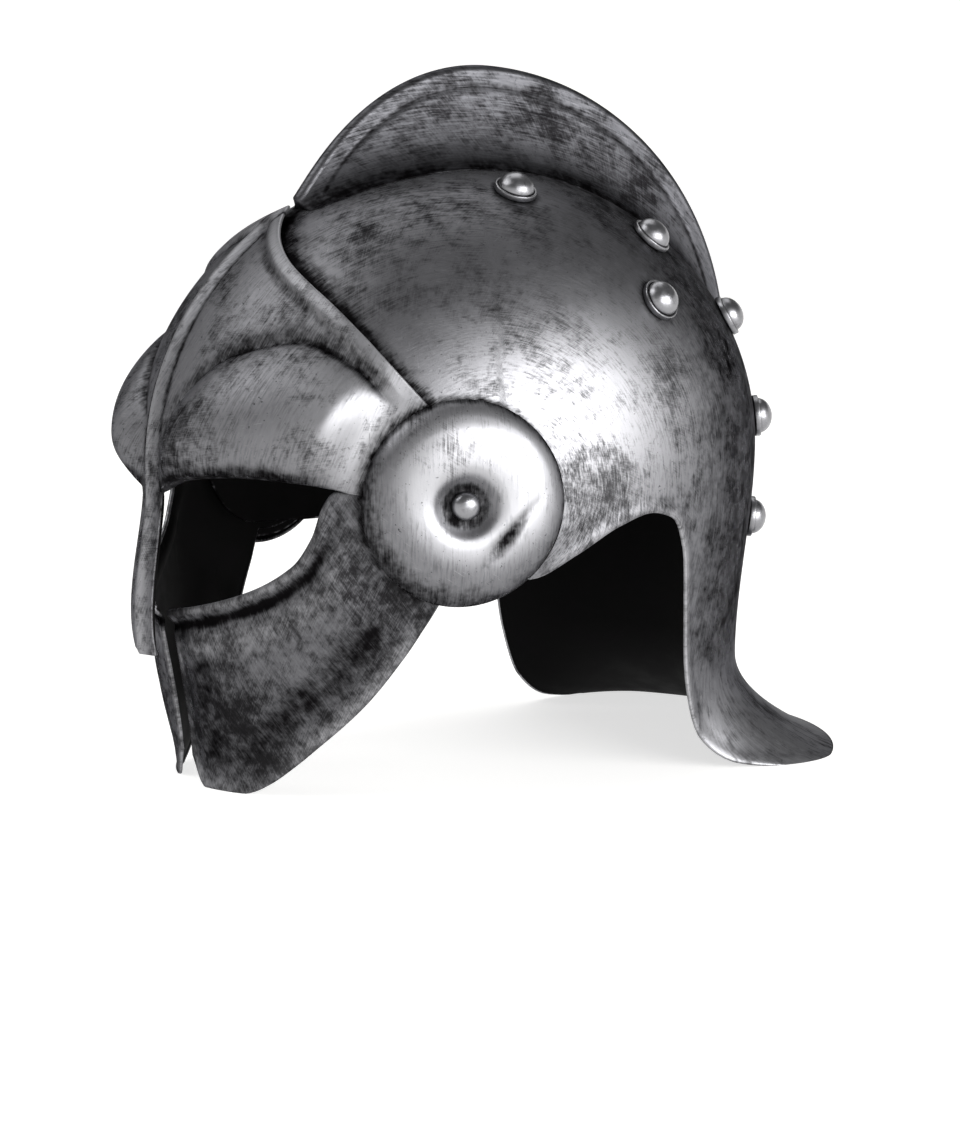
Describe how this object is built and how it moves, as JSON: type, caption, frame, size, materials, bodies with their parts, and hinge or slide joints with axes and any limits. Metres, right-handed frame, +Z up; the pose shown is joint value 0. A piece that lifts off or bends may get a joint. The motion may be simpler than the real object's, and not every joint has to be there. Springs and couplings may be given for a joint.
{
  "type": "gladiator helmet",
  "caption": "Sheet-steel gladiator helmet: round bowl with ear arches and flared neck guard, crescent comb, peaked brow plate with nasal, cheek plates, ear discs and domed rivets",
  "frame": {"origin": "on the floor, under the middle of the helmet's length and width, as it stands on its cheek plates and neck guard", "axes": "+Z up, -Y the way the face looks, +X the wearer's left"},
  "size_m": [0.226, 0.3138, 0.2906],
  "materials": {
    "antiqued_steel": "antiqued: brushed steel, blackened in the hollows and rubbed bright on the high places",
    "bright_steel": "polished rivet heads with dark feet"
  },
  "bodies": {
    "root": {"skull_bowl": "antiqued_steel", "crest_comb": "antiqued_steel", "brow_plate": "antiqued_steel", "cheek_plate_left": "antiqued_steel", "cheek_plate_right": "antiqued_steel", "ear_disc_left": "antiqued_steel", "ear_disc_right": "antiqued_steel", "tab_rivet_left": "antiqued_steel", "tab_rivet_right": "antiqued_steel", "ear_rivet_left": "bright_steel", "ear_rivet_right": "bright_steel", "crown_stud_left_1": "bright_steel", "crown_stud_left_2": "bright_steel", "crown_stud_left_3": "bright_steel", "crown_stud_left_4": "bright_steel", "crown_stud_left_5": "bright_steel", "crown_stud_left_6": "bright_steel", "crown_stud_right_1": "bright_steel", "crown_stud_right_2": "bright_steel", "crown_stud_right_3": "bright_steel", "crown_stud_right_4": "bright_steel", "crown_stud_right_5": "bright_steel", "crown_stud_right_6": "bright_steel"}
  },
  "joints": []
}
